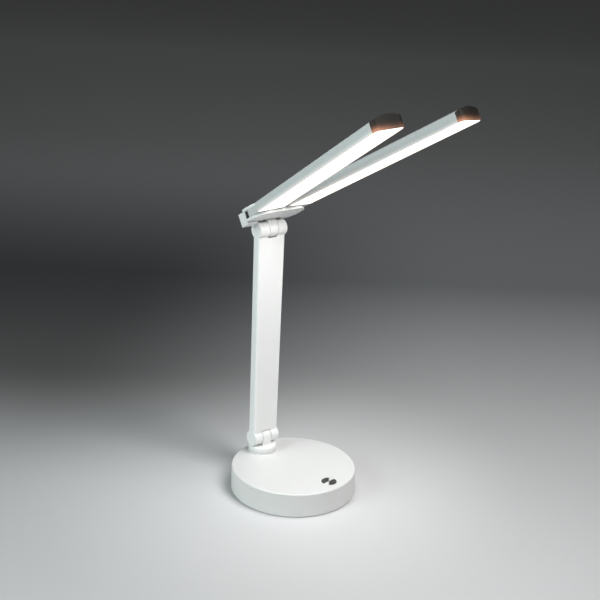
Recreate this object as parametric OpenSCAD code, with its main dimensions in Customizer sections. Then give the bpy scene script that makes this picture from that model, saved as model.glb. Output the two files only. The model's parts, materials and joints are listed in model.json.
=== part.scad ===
// Folding desk lamp with two light bars on one head.
// A weighted round base carries a small turret; the turret carries the arm on
// a pinned hinge, the arm carries the head, and each bar swings on its own pin.
// Lengths are in millimetres. The model stands at the origin with +Z up; the
// touch side of the base faces -Y and both hinge pins lie along X.

/* [Base] */
// Outer diameter of the base
base_d = 125; // [120:1:150]
// Height of the base's top face over the table
base_h = 24.8; // [24:0.2:32]
// Radius of the rounded rim round the top face
base_edge_r = 1.4; // [0.6:0.1:2]
// Thickness of the base's side wall
base_wall = 2.4; // [1.6:0.1:3]
// Thickness of the base's top wall
base_top = 2.6; // [2:0.1:3.2]
// Thickness of the bottom cover
cover_t = 2; // [1.4:0.1:2.4]
// Height of the foot ring below the cover
foot_h = 1; // [0.6:0.1:1.6]
// Distance of the foot ring's middle from the base's side wall
foot_inset = 4; // [3:0.1:5]
// Width of the foot ring
foot_ring_w = 3.2; // [2:0.1:3.6]
// Depth of the groove that holds the foot ring
foot_groove = 0.8; // [0.4:0.1:1]

/* [Inside the base] */
// Thickness of the steel ballast disc
ballast_t = 5; // [3:0.5:5.5]
// Length of the battery cell
cell_l = 56; // [40:1:58]
// Width of the battery cell
cell_w = 42; // [30:1:44]
// Thickness of the battery cell
cell_t = 8; // [5:0.5:8.5]
// Radius of the cover screw bosses
boss_r = 3.6; // [3:0.1:3.8]
// Thickness of the circuit boards
board_t = 1.6; // [1:0.1:2]

/* [Button] */
// Diameter of the metal button
button_d = 15; // [12:0.5:17]
// Distance of the button's centre from the base's rim
button_inset = 14.5; // [13:0.5:17]
// How far the button stands over the top face
button_proud = 0.3; // [0.1:0.1:0.6]
// Thickness of the metal disc on the button
button_cap_t = 0.8; // [0.5:0.1:1]
// Stroke of the button
button_travel = 0.8; // [0.4:0.1:0.8]

/* [Charging inlet] */
// Width of the inlet's metal shell
inlet_w = 9; // [8.5:0.1:10]
// Height of the inlet's metal shell
inlet_h = 3.3; // [3:0.1:3.8]
// Depth of the inlet's metal shell
inlet_l = 8; // [7:0.5:8.5]
// Height of the inlet's centre over the table
inlet_z = 9; // [8.5:0.1:10.5]

/* [Turret] */
// Distance of the turret's foot from the rounded rim
turret_inset = 0.7; // [0.5:0.1:3]
// Diameter of the turret and of the seat below it
turret_d = 28.4; // [26:0.2:30]
// Height of the fixed seat that the base raises under the turret
seat_h = 4; // [2:0.5:6]
// Height of the turning turret disc
turret_h = 3.7; // [3:0.1:6]
// Turn of the turret on the base in the pose shown
turret_turn = -7; // [-45:1:45]
// Radius of the fillet round the foot of the seat
seat_fillet = 1.2; // [0.6:0.1:1.6]
// Diameter of the turret's hollow spigot
spigot_d = 16; // [15:0.5:17]
// Diameter of the wire holes through the hinges
wire_d = 3; // [2:0.2:3.4]
// Thickness of the round nut on the spigot
nut_t = 3.2; // [2:0.2:3.4]
// Width of the round nut's ring
nut_ring = 3.5; // [2.5:0.5:4]
// Thickness of the sliding washer over the nut
slide_t = 0.8; // [0.4:0.1:1]

/* [Hinges] */
// Diameter of the hinge barrels
barrel_d = 15.8; // [14:0.2:17]
// Diameter of the hinge pins
pin_d = 5; // [4:0.2:6]
// Width of the middle knuckle
knuckle_w = 9.8; // [8:0.2:11]
// Thickness of the spring washers beside a knuckle
washer_t = 0.5; // [0.3:0.1:0.8]
// Diameter of the spring washers
washer_d = 12; // [10:0.5:13]
// Gap round a knuckle inside the arm's slot
slot_gap = 1.2; // [0.8:0.1:1.6]
// Gap between the arm's ears and the turret
ear_gap = 0.9; // [0.6:0.1:2]
// Diameter of the flush caps over the pins
cap_d = 10; // [8:0.5:12]
// Thickness of the flush caps
cap_t = 1.2; // [0.8:0.1:1.6]

/* [Arm] */
// Distance between the two hinge pins
arm_len = 220; // [160:1:260]
// Width of the arm at the lower hinge
arm_w_low = 29.6; // [28:0.2:32]
// Width of the arm at the upper hinge
arm_w_top = 32; // [29:0.2:34]
// Thickness of the arm
arm_t = 10.2; // [9:0.1:11]
// Radius along the arm's four long edges
arm_edge_r = 2.2; // [1:0.1:2.6]
// Thickness of the arm's front wall
arm_wall = 2; // [1.4:0.1:2.6]
// Width of the cover on the back of the arm
back_w = 24; // [20:0.5:24]
// Thickness of the cover on the back of the arm
back_t = 1.6; // [1.2:0.1:2]
// Distance of that cover's ends from the hinge pins
back_inset = 15; // [13:0.5:20]
// Width of the ledge under that cover
back_ledge = 1.6; // [1:0.1:2.4]

/* [Head] */
// Upward tilt of the head in the pose shown
head_tilt = 30.5; // [0:0.5:60]
// Gap between the head and the hinge barrel
head_gap = 0.3; // [0.2:0.1:1]
// Thickness of the bracket's lower plate
lower_t = 2.8; // [1.6:0.1:3.4]
// Thickness of the bracket's upper plate
upper_t = 2.8; // [2:0.1:4]
// Gap between the bars when they lie side by side
bar_gap = 0.6; // [0.4:0.1:3]
// Distance of the swing pins in front of the hinge pin
pivot_f = 17.2; // [15:0.2:22]
// Thickness of the rear wall behind a bar's root
rear_wall = 1.6; // [1.2:0.1:4]
// Corner radius at the rear of the two plates
rear_r = 11; // [8:0.5:12]
// Width of the squared block at the rear left corner
block_w = 12.3; // [11:0.1:13]
// How far that block reaches below the lower plate
block_drop = 2.5; // [1:0.1:4]
// How far the rear wall's outer tips are cut back
tip_cut = 1.6; // [0.8:0.1:2]
// Gap round a bar's round root inside the rear wall
root_gap = 1.5; // [0.8:0.1:1.6]
// Diameter of the swing pins
swing_pin_d = 6; // [4:0.5:8]
// Diameter of the swing pins' heads
swing_head_d = 11; // [9:0.5:12]
// Thickness of the swing pins' heads
swing_head_t = 1.2; // [0.8:0.1:1.6]

/* [Light bars] */
// Outward swing of each bar in the pose shown
bar_splay = 8; // [0:0.5:30]
// Distance from the swing pin to the bar's tip
bar_len = 227; // [160:1:260]
// Width of a bar
bar_w = 29.8; // [24:0.2:36]
// Height of a bar's side faces
bar_side_h = 8.8; // [8.2:0.1:11]
// Rise of the crowned top over the side faces
bar_crown = 3.6; // [1.5:0.1:4.2]
// Thickness of the bar's flat root between the plates
root_h = 7.2; // [6:0.1:7.4]
// Wall thickness of a bar
bar_wall = 1.2; // [0.8:0.1:1.6]
// Thickness of the light diffuser
diffuser_t = 1.6; // [1:0.1:2]
// Width of the bar's rim beside the diffuser
diffuser_rim = 0.8; // [0.5:0.1:1.2]
// Width of the ledge that the diffuser lies on
diffuser_ledge = 1.4; // [1:0.1:2]
// Depth of the dark end cap, and the radius of its upright corners
end_cap_t = 4.6; // [3:0.1:6]
// How far the bar's round root is drawn forward of the swing pin
root_shift = 2.4; // [0:0.1:2.6]
// Width of the light strip's board
led_board_w = 12; // [8:0.5:16]
// Thickness of the light strip's board
led_board_t = 1.2; // [0.8:0.1:1.6]
// Spacing of the light chips
led_pitch = 16; // [10:1:30]
// Width of a light chip
led_w = 3; // [2:0.1:3.5]

/* [Fits] */
// Radial clearance of parts that turn or slide on each other
run_fit = 0.06; // [0.03:0.01:0.1]
// Radial clearance of parts that are pressed together
tight_fit = 0.02; // [0.01:0.01:0.04]
// Gap between flat faces that move past each other
face_gap = 0.1; // [0.05:0.05:0.2]
// Gap round covers, caps and boards that drop into place
drop_gap = 0.1; // [0.05:0.05:0.2]
// Seam between the base's seat and the turret
swivel_gap = 0.2; // [0.1:0.05:0.3]

/* [Screws] */
// Shank diameter of the cover screws
screw_d = 3; // [2.5:0.1:3.2]
// Depth that the cover screws reach into their bosses
screw_grip = 7; // [5:0.5:8]
// Head diameter of the cover screws
screw_head_d = 5.4; // [4.6:0.1:5.8]
// Shank diameter of the small screws
small_screw_d = 2; // [1.6:0.1:2.2]
// Head diameter of the small screws
small_head_d = 3.8; // [3.2:0.1:4]

/* [Hidden] */
$fn = 64;
sink = 0.4;                       // how far fused shapes reach into each other
base_r = base_d / 2;
inner_r = base_r - base_wall;
inner_z = base_h - base_top;      // underside of the top wall
cover_top = foot_h + cover_t;
foot_ring_r = inner_r - foot_inset;
boss_angles = [20, 160, 230, 310];
boss_ring_r = foot_ring_r - foot_ring_w / 2 - screw_head_d / 2 - 0.8;
ballast_r = boss_ring_r - boss_r - drop_gap - 1.8;
ballast_top = cover_top + ballast_t;
button_y = base_r - button_inset;
button_r = button_d / 2;
flange_r = button_r + 1.5;
flange_t = 1.2;
flange_z = inner_z - face_gap - flange_t;
nib_z = flange_z - 1;
switch_w = 6.2;
switch_h = 4;
stem_r = 1.7;
stem_l = 2.5;
board_x = 20;
board_y0 = button_y - 20;
board_y1 = button_y + 6;
board_z = nib_z - button_travel - 0.3 - switch_h;
post_r = 2.4;
post_x = 16;
post_y = [board_y0 + 4, board_y1 - 4];
inlet_mouth = sqrt(pow(base_r, 2) - pow(inlet_w / 2, 2)) - 0.4;
inlet_board_z = inlet_z - inlet_h / 2;
inlet_board_t = 1;
inlet_board_w = 14;
inlet_board_y1 = sqrt(pow(inner_r, 2) - pow(inlet_board_w / 2, 2)) - 1.2;
inlet_board_y0 = inlet_board_y1 - 9.6;
inlet_post_y = inlet_board_y0 + 2.5;
turret_r = turret_d / 2;
turret_y = base_r - base_edge_r - seat_fillet - turret_r - turret_inset;
spigot_r = spigot_d / 2;
nut_d = spigot_d + 2 * nut_ring;
wire_y = pin_d / 2 + 2.5;         // wire holes stand clear of the pins
turret_z = base_h + seat_h + swivel_gap;
turret_top = turret_z + turret_h;
barrel_r = barrel_d / 2;
pin_r = pin_d / 2;
hinge_z = turret_top + ear_gap + barrel_r;
top_z = hinge_z + arm_len;
slot_w = knuckle_w + 2 * (washer_t + face_gap);
slot_r = barrel_r + slot_gap;
pivot_x = (bar_w + bar_gap) / 2;
lobe_r = pivot_x;
plate_w2 = pivot_x + lobe_r;      // half width of the bracket
lower_n = barrel_r + head_gap;    // underside of the lower plate over the pin
slot_n = lower_n + lower_t;       // top of the lower plate
root_n = slot_n + face_gap;       // underside of the bars
wire_n = slot_n + wire_d / 2 + 0.3;
upper_n = root_n + root_h + face_gap;
head_top = upper_n + upper_t;
pocket_r = bar_w / 2 + root_gap;
cusp = sqrt(pow(pocket_r, 2) - pow(pivot_x, 2));
rear_f = pocket_r + rear_wall - pivot_f;
wall_front = pivot_f - cusp;      // where the pockets meet in the middle
wall_side = pivot_f - sqrt(pow(pocket_r, 2) - pow(lobe_r, 2));
swing_r = swing_pin_d / 2;
swing_floor = 1;                  // skin left under the swing pins
step_s = lobe_r + 0.5;              // where a bar rises past the upper plate
light_s = step_s + 0.6;           // where the diffuser starts
cap_s = bar_len - end_cap_t - 0.4;  // seam between a bar and its end cap
bar_h = bar_side_h + bar_crown;
crown_r = (pow(bar_w / 2, 2) + pow(bar_crown, 2)) / (2 * bar_crown);
chan_top = bar_side_h - bar_wall;
chan_w = bar_w - 2 * (diffuser_rim + diffuser_ledge);

// ---- shared shapes ----

// flat rectangle with rounded corners, centred
module rounded_rect(w, d, r) {
    square([w - 2 * r, d], center = true);
    square([w, d - 2 * r], center = true);
    for (x = [-1, 1], y = [-1, 1])
        translate([x * (w / 2 - r), y * (d / 2 - r)]) circle(r);
}

// rod along X, centred on the hinge axis
module x_rod(r, w) {
    rotate([0, 90, 0]) cylinder(r = r, h = w, center = true);
}

// countersunk screw, head flush at z = 0, pointing up
module flat_screw(d, head_d, len) {
    cone = (head_d - d) / 2;
    cylinder(r1 = head_d / 2, r2 = d / 2, h = cone);
    cylinder(r = d / 2, h = len);
}

// the hole that such a screw sits in
module screw_seat(d, head_d, len) {
    translate([0, 0, -1]) cylinder(r = head_d / 2, h = 1);
    cylinder(r1 = head_d / 2, r2 = d / 2, h = (head_d - d) / 2);
    cylinder(r = d / 2 + tight_fit, h = len);
}

module on_boss() {
    for (a = boss_angles) rotate(a) translate([boss_ring_r, 0, 0]) children();
}

module on_posts() {
    for (x = [-1, 1], y = post_y) translate([x * post_x, -y, 0]) children();
}

module on_inlet_posts() {
    for (x = [-1, 1])
        translate([x * (inlet_board_w / 2 - 2.2), inlet_post_y, 0]) children();
}

// small pan head screw, head down, its head's face at z = 0
module small_screw(len) {
    translate([0, 0, -1.2]) cylinder(r = small_head_d / 2, h = 1.2);
    translate([0, 0, -1.2]) cylinder(r = small_screw_d / 2, h = 1.2 + len);
}

// ---- base ----

module rim_profile() {
    translate([0, foot_h]) square([base_r, base_h - foot_h - base_edge_r]);
    translate([0, foot_h]) square([base_r - base_edge_r, base_h - foot_h]);
    translate([base_r - base_edge_r, base_h - base_edge_r]) circle(base_edge_r);
}

module seat_profile() {
    translate([0, -sink]) square([turret_r, seat_h + sink]);
    difference() {
        translate([0, -sink]) square([turret_r + seat_fillet, seat_fillet + sink]);
        translate([turret_r + seat_fillet, seat_fillet]) circle(seat_fillet);
    }
}

module base_shell() {
    color("white") difference() {
        union() {
            difference() {
                rotate_extrude() rim_profile();
                cylinder(r = inner_r, h = inner_z);
            }
            intersection() {
                translate([0, turret_y, base_h]) rotate_extrude() seat_profile();
                cylinder(r = base_r - base_edge_r, h = 2 * base_h);
            }
            on_boss() translate([0, 0, cover_top])
                cylinder(r = boss_r, h = inner_z - cover_top + sink);
            on_posts() translate([0, 0, board_z])
                cylinder(r = post_r, h = inner_z - board_z + sink);
            // sleeve that guides the button's flange
            translate([0, -button_y, flange_z])
                difference() {
                    cylinder(r = flange_r + 1.6, h = inner_z - flange_z + sink);
                    translate([0, 0, -1])
                        cylinder(r = flange_r + run_fit, h = inner_z - flange_z + 1);
                }
        }
        on_boss() translate([0, 0, cover_top - 1])
            cylinder(r = screw_d / 2 + tight_fit, h = screw_grip + 2);
        on_posts() translate([0, 0, board_z - 1])
            cylinder(r = small_screw_d / 2 + tight_fit, h = 5);
        translate([0, -button_y, flange_z])
            cylinder(r = button_r + run_fit, h = base_h);
        translate([0, turret_y, inner_z - 1])
            cylinder(r = spigot_r + run_fit, h = base_h);
        translate([0, inner_r - 3, inlet_z]) rotate([-90, 0, 0])
            linear_extrude(10) rounded_rect(inlet_w + 2 * drop_gap,
                inlet_h + 2 * drop_gap, inlet_h / 2 - 0.1);
    }
}

module base_cover() {
    color("gainsboro") difference() {
        union() {
            translate([0, 0, foot_h]) cylinder(r = inner_r - drop_gap, h = cover_t);
            // low wall that holds the ballast in place
            translate([0, 0, cover_top - sink]) difference() {
                cylinder(r = ballast_r + drop_gap + 1.2, h = 2 + sink);
                translate([0, 0, -1])
                    cylinder(r = ballast_r + drop_gap, h = 4 + sink);
            }
            on_inlet_posts() translate([0, 0, cover_top - sink])
                cylinder(r = 2.2, h = inlet_board_z - inlet_board_t
                    - cover_top + sink);
        }
        on_inlet_posts() translate([0, 0, cover_top])
            cylinder(r = small_screw_d / 2 + tight_fit, h = inlet_h + 10);
        translate([0, 0, foot_h - 1]) difference() {
            cylinder(r = foot_ring_r + foot_ring_w / 2 + tight_fit,
                h = 1 + foot_groove);
            translate([0, 0, -1])
                cylinder(r = foot_ring_r - foot_ring_w / 2 - tight_fit,
                    h = 3 + foot_groove);
        }
        on_boss() translate([0, 0, foot_h])
            screw_seat(screw_d, screw_head_d, cover_t + 1);
    }
}

module foot_ring() {
    color("dimgray") difference() {
        cylinder(r = foot_ring_r + foot_ring_w / 2, h = foot_h + foot_groove);
        translate([0, 0, -1])
            cylinder(r = foot_ring_r - foot_ring_w / 2, h = foot_h + foot_groove + 2);
    }
}

module ballast_disc() {
    color("slategray") translate([0, 0, cover_top]) cylinder(r = ballast_r, h = ballast_t);
}

module battery_cell() {
    color("steelblue") translate([0, 2, ballast_top])
        linear_extrude(cell_t) rounded_rect(cell_l, cell_w, 3);
}

module control_board() {
    color("seagreen") difference() {
        union() {
            translate([-board_x, -board_y1, board_z - board_t])
                cube([2 * board_x, board_y1 - board_y0, board_t]);
            // driver chip, coil and capacitor under the board
            translate([0, -(board_y0 + board_y1) / 2, board_z - board_t]) {
                translate([-3, 3, -1.2]) cube([6, 5, 1.2 + sink]);
                translate([-10, 0, -2.4]) cylinder(r = 3, h = 2.4 + sink);
                translate([9, 0, -3]) cylinder(r = 2, h = 3 + sink);
            }
        }
        on_posts() translate([0, 0, board_z - board_t - 1])
            cylinder(r = small_screw_d / 2 + drop_gap, h = board_t + 2);
    }
}

module board_screws() {
    color("silver") {
        on_posts() translate([0, 0, board_z - board_t]) small_screw(board_t + 3);
        on_inlet_posts() translate([0, 0, inlet_board_z]) mirror([0, 0, 1])
            small_screw(inlet_board_t + 1.5);
    }
}

module push_switch() {
    color("black") translate([0, -button_y, board_z]) difference() {
        translate([-switch_w / 2, -switch_w / 2, 0]) cube([switch_w, switch_w, switch_h]);
        translate([0, 0, 1]) cylinder(r = stem_r + run_fit, h = switch_h);
    }
}

module cover_screws() {
    color("silver") on_boss() translate([0, 0, foot_h])
        flat_screw(screw_d, screw_head_d, cover_t + screw_grip);
}

module inlet_board() {
    color("seagreen") difference() {
        translate([-inlet_board_w / 2, inlet_board_y0, inlet_board_z - inlet_board_t])
            cube([inlet_board_w, inlet_board_y1 - inlet_board_y0, inlet_board_t]);
        on_inlet_posts() cylinder(r = small_screw_d / 2 + drop_gap, h = base_h);
    }
}

module inlet_socket() {
    color("silver") translate([0, inlet_mouth, inlet_z]) rotate([90, 0, 0]) {
        difference() {
            linear_extrude(inlet_l) rounded_rect(inlet_w, inlet_h, inlet_h / 2 - 0.1);
            translate([0, 0, -1]) linear_extrude(inlet_l - 0.5)
                rounded_rect(inlet_w - 0.7, inlet_h - 0.7, inlet_h / 2 - 0.45);
        }
        // contact tongue
        translate([-inlet_w / 2 + 1.4, -0.35, 1])
            cube([inlet_w - 2.8, 0.7, inlet_l - 1.2]);
    }
}

// ---- button ----

module button_disc() {
    color("silver") translate([0, -button_y, base_h + button_proud - button_cap_t])
        rotate_extrude() {
            square([button_r, button_cap_t - 0.25]);
            square([button_r - 0.25, button_cap_t]);
            translate([button_r - 0.25, button_cap_t - 0.25]) circle(0.25);
        }
}

module button_plunger() {
    color("lightgray") translate([0, -button_y, 0]) {
        translate([0, 0, flange_z])
            cylinder(r = button_r, h = base_h + button_proud - button_cap_t - flange_z);
        translate([0, 0, flange_z]) cylinder(r = flange_r, h = flange_t);
        translate([0, 0, nib_z]) cylinder(r = stem_r + 0.5, h = 1 + sink);
    }
}

module switch_stem() {
    color("dimgray") translate([0, -button_y, nib_z - stem_l])
        cylinder(r = stem_r, h = stem_l);
}

// ---- turret ----

// everything above the base turns with the turret
module on_turret() { translate([0, turret_y, 0]) rotate(turret_turn) children(); }

module turret() {
    color("white") on_turret() difference() {
        union() {
            translate([0, 0, turret_z]) rotate_extrude() {
                square([turret_r, turret_h - 0.8]);
                square([turret_r - 0.8, turret_h]);
                translate([turret_r - 0.8, turret_h - 0.8]) circle(0.8);
            }
            translate([0, 0, inner_z - face_gap - slide_t - nut_t - 1])
                cylinder(r = spigot_r, h = turret_z + sink
                    - (inner_z - face_gap - slide_t - nut_t - 1));
            translate([0, 0, hinge_z]) x_rod(barrel_r, knuckle_w);
            translate([-knuckle_w / 2, -barrel_r, turret_top - sink])
                cube([knuckle_w, 2 * barrel_r, hinge_z - turret_top + sink]);
        }
        translate([0, 0, hinge_z]) x_rod(pin_r + run_fit, knuckle_w + 2);
        // the hollow spigot leads the wires to a hole behind the pin
        cylinder(r = spigot_r - 2, h = turret_z + turret_h / 2);
        translate([0, wire_y, turret_z]) cylinder(r = wire_d / 2, h = 2 * barrel_d);
    }
}

module spigot_nut() {
    color("silver")
        on_turret() translate([0, 0, inner_z - face_gap - slide_t - nut_t]) difference() {
            cylinder(r = nut_d / 2, h = nut_t);
            translate([0, 0, -1]) cylinder(r = spigot_r + tight_fit, h = nut_t + 2);
            // two wrench slots
            for (a = [0, 180]) rotate(a)
                translate([nut_d / 2 - 1.6, -1.2, -1]) cube([3, 2.4, nut_t + 2]);
        }
}

module slide_washer() {
    color("ivory") on_turret() translate([0, 0, inner_z - face_gap - slide_t]) difference() {
        cylinder(r = nut_d / 2 - 0.5, h = slide_t);
        translate([0, 0, -1]) cylinder(r = spigot_r + tight_fit, h = slide_t + 2);
    }
}

// ---- arm ----

module at_lower() { on_turret() translate([0, 0, hinge_z]) children(); }
module at_upper() { on_turret() translate([0, 0, top_z]) children(); }

// flat shape drawn in the arm's plane, x across and y along the arm,
// pushed into the arm from its back face by depth
module from_back(depth, above = 0) {
    translate([0, arm_t / 2 + above, 0]) rotate([90, 0, 0])
        linear_extrude(depth + above) translate([0, arm_len / 2]) children();
}

module on_arm_screws() {
    for (s = [-1, 0, 1])
        translate([0, arm_t / 2, arm_len / 2 + s * (arm_len / 2 - back_inset - 8)])
            rotate([90, 0, 0]) children();
}

// slab that widens from the lower to the upper hinge
module arm_slab(inset, t) {
    low = arm_w_low / 2 - inset;
    top = arm_w_top / 2 - inset;
    translate([0, t / 2, 0]) rotate([90, 0, 0]) linear_extrude(t)
        polygon([[-low, 0], [low, 0], [top, arm_len], [-top, arm_len]]);
}

// the arm's outer form: two slabs and a slightly leaning rod in each corner
module arm_blank() {
    lean = atan((arm_w_top - arm_w_low) / 2 / arm_len);
    inset = arm_edge_r / cos(lean);
    arm_slab(0, arm_t - 2 * arm_edge_r);
    arm_slab(inset, arm_t);
    for (x = [-1, 1], y = [-1, 1])
        translate([x * (arm_w_low / 2 - inset), y * (arm_t / 2 - arm_edge_r), 0])
            rotate([0, x * lean, 0]) cylinder(r = arm_edge_r, h = arm_len / cos(lean));
}

module arm_frame() {
    back_l = arm_len - 2 * back_inset;
    color("white") at_lower() difference() {
        union() {
            difference() {
                arm_blank();
                from_back(back_t, 1)
                    rounded_rect(back_w + 2 * drop_gap, back_l + 2 * drop_gap, 2);
                from_back(arm_t - arm_wall, 1)
                    rounded_rect(back_w - 2 * back_ledge, back_l - 2 * back_ledge, 1.5);
            }
            intersection() {
                on_arm_screws() translate([0, 0, back_t])
                    cylinder(r = 3, h = arm_t - back_t - arm_wall + sink);
                translate([-20, -arm_t / 2 + 0.5, 0]) cube([40, arm_t, arm_len]);
            }
            x_rod(barrel_r, arm_w_low);
            translate([0, 0, arm_len]) x_rod(barrel_r, arm_w_top);
        }
        for (p = [[0, arm_w_low], [arm_len, arm_w_top]]) translate([0, 0, p[0]]) {
            x_rod(slot_r, slot_w);
            x_rod(pin_r + tight_fit, p[1] + 2);
            for (m = [-1, 1]) translate([m * (p[1] / 2 - cap_t / 2 + 0.5), 0, 0])
                x_rod(cap_d / 2 + tight_fit, cap_t + 1);
        }
        on_arm_screws() translate([0, 0, back_t - 1])
            cylinder(r = small_screw_d / 2 + tight_fit, h = 5);
        // wire holes from the slots into the hollow
        for (z = [0, arm_len - 2 * back_inset])
            translate([0, 0, z]) cylinder(r = wire_d / 2, h = 2 * back_inset);
    }
}

module arm_back() {
    color("white") at_lower() difference() {
        from_back(back_t)
            rounded_rect(back_w, arm_len - 2 * back_inset, 2 - drop_gap);
        on_arm_screws() screw_seat(small_screw_d, small_head_d, back_t + 1);
    }
}

module arm_screws() {
    color("silver") at_lower() on_arm_screws()
        flat_screw(small_screw_d, small_head_d, back_t + 3.5);
}

module lower_pin() {
    color("silver") at_lower() x_rod(pin_r, arm_w_low - 2 * cap_t);
}

module upper_pin() {
    color("silver") at_upper() x_rod(pin_r, arm_w_top - 2 * cap_t);
}

module hinge_caps() {
    color("white") for (m = [-1, 1]) {
        at_lower() translate([m * (arm_w_low - cap_t) / 2, 0, 0]) x_rod(cap_d / 2, cap_t);
        at_upper() translate([m * (arm_w_top - cap_t) / 2, 0, 0]) x_rod(cap_d / 2, cap_t);
    }
}

module spring_washers() {
    for (m = [-1, 1]) translate([m * (slot_w - washer_t) / 2, 0, 0]) difference() {
        x_rod(washer_d / 2, washer_t);
        x_rod(pin_r + tight_fit, washer_t + 1);
    }
}

module hinge_washers() {
    color("silver") { at_lower() spring_washers(); at_upper() spring_washers(); }
}

// ---- head ----

// the head is drawn level, its front towards -Y and its pin at the origin
module in_head() { at_upper() rotate([-head_tilt, 0, 0]) children(); }
module at_pivot(side) { translate([side * pivot_x, -pivot_f, 0]) children(); }

module plate_outline() {
    for (m = [-1, 1]) {
        translate([m * pivot_x, -pivot_f]) circle(lobe_r);
        translate([m * (plate_w2 - rear_r), rear_f - rear_r]) circle(rear_r);
    }
    translate([-pivot_x, -pivot_f - lobe_r]) square([2 * pivot_x, lobe_r + pivot_f]);
    translate([-plate_w2, -pivot_f]) square([2 * plate_w2, pivot_f + rear_f - rear_r]);
    translate([-plate_w2 + rear_r, -pivot_f])
        square([2 * (plate_w2 - rear_r), pivot_f + rear_f]);
}

module head_bracket() {
    color("white") in_head() difference() {
        union() {
            translate([0, 0, lower_n]) linear_extrude(lower_t) plate_outline();
            // rear wall with a round pocket for each bar's root
            translate([0, 0, slot_n - sink]) linear_extrude(upper_n - slot_n + sink)
                difference() {
                    intersection() {
                        plate_outline();
                        translate([-2 * plate_w2, -wall_front])
                            square([4 * plate_w2, wall_front + 2 * rear_f]);
                    }
                    for (m = [-1, 1]) {
                        translate([m * pivot_x, -pivot_f]) circle(pocket_r);
                        translate([m * plate_w2 - 4, -pivot_f])
                            square([8, pivot_f - wall_side + tip_cut]);
                    }
                }
            // squared block at the rear left corner
            difference() {
                translate([-plate_w2, tip_cut - wall_side, lower_n - block_drop])
                    cube([block_w, wall_side - tip_cut + rear_f,
                        upper_n - lower_n + block_drop]);
                at_pivot(-1) translate([0, 0, slot_n])
                    cylinder(r = pocket_r, h = upper_n - slot_n + 1);
            }
            x_rod(barrel_r, knuckle_w);
            translate([-knuckle_w / 2, 0.6 - barrel_r, 0])
                cube([knuckle_w, 2 * barrel_r - 1.2, lower_n + sink]);
        }
        // wires pass behind and over the pin, then part to the two pockets
        translate([0, wire_y, -barrel_r]) cylinder(r = wire_d / 2, h = barrel_r + wire_y);
        translate([0, wire_y, wire_y]) rotate([90, 0, 0])
            cylinder(r = wire_d / 2, h = 2 * wire_y);
        translate([0, -wire_y, wire_y]) cylinder(r = wire_d / 2, h = wire_n - wire_y);
        translate([0, -wire_y, wire_n]) x_rod(wire_d / 2, 2 * pivot_x - pocket_r);
        x_rod(pin_r + run_fit, knuckle_w + 2);
        for (m = [-1, 1]) at_pivot(m) translate([0, 0, lower_n + swing_floor])
            cylinder(r = swing_r + tight_fit, h = lower_t);
        translate([0, -wall_front / 2, upper_n - 3.5])
            cylinder(r = small_screw_d / 2 + tight_fit, h = 5);
    }
}

module bracket_plate() {
    color("white") in_head() difference() {
        translate([0, 0, upper_n]) linear_extrude(upper_t) plate_outline();
        for (m = [-1, 1]) at_pivot(m) {
            translate([0, 0, upper_n - 1]) cylinder(r = swing_r + tight_fit, h = upper_t + 2);
            translate([0, 0, head_top - swing_head_t])
                cylinder(r = swing_head_d / 2 + tight_fit, h = swing_head_t + 1);
        }
        translate([0, -wall_front / 2, head_top]) mirror([0, 0, 1])
            screw_seat(small_screw_d, small_head_d, upper_t + 1);
    }
}

module plate_screw() {
    color("silver") in_head() translate([0, -wall_front / 2, head_top])
        mirror([0, 0, 1]) flat_screw(small_screw_d, small_head_d, upper_t + 3);
}

module swing_pin(side) {
    color("silver") in_head() at_pivot(side) {
        translate([0, 0, lower_n + swing_floor])
            cylinder(r = swing_r, h = head_top - lower_n - swing_floor);
        translate([0, 0, head_top - swing_head_t])
            cylinder(r = swing_head_d / 2, h = swing_head_t);
    }
}

module swing_pin_left() { swing_pin(-1); }
module swing_pin_right() { swing_pin(1); }

// ---- light bars, drawn with the swing pin at the origin, tip towards -Y ----

module in_bar(side) {
    in_head() at_pivot(side) translate([0, 0, root_n])
        rotate([0, 0, side * bar_splay]) children();
}

// outline from above: round root, straight sides, rounded tip
module bar_plan() {
    translate([0, -root_shift]) circle(bar_w / 2);
    tip_plan(bar_w, root_shift, bar_len, end_cap_t);
}

// strip between two distances from the swing pin, its far corners rounded
module tip_plan(w, s0, s1, r) {
    translate([-w / 2, -s1 + r]) square([w, s1 - r - s0]);
    translate([-w / 2 + r, -s1]) square([w - 2 * r, s1 - s0]);
    for (m = [-1, 1]) translate([m * (w / 2 - r), -s1 + r]) circle(r);
}

// the strip inside the rim that the diffuser fills, less a gap all round
module strip_plan(gap) {
    inset = diffuser_rim + gap;
    tip_plan(bar_w - 2 * inset, light_s + gap, bar_len - inset, end_cap_t - inset);
}

// crowned section of a bar between two distances from the swing pin
module bar_section(s0, s1) {
    translate([0, -s0, 0]) rotate([90, 0, 0]) linear_extrude(s1 - s0) intersection() {
        translate([-bar_w / 2 - 1, 0]) square([bar_w + 2, bar_h]);
        translate([0, bar_h - crown_r]) circle(crown_r, $fn = 128);
    }
}

// block across a bar between two distances from the swing pin
module across(w, s0, s1, z0, z1) {
    translate([-w / 2, -s1, z0]) cube([w, s1 - s0, z1 - z0]);
}

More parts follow.
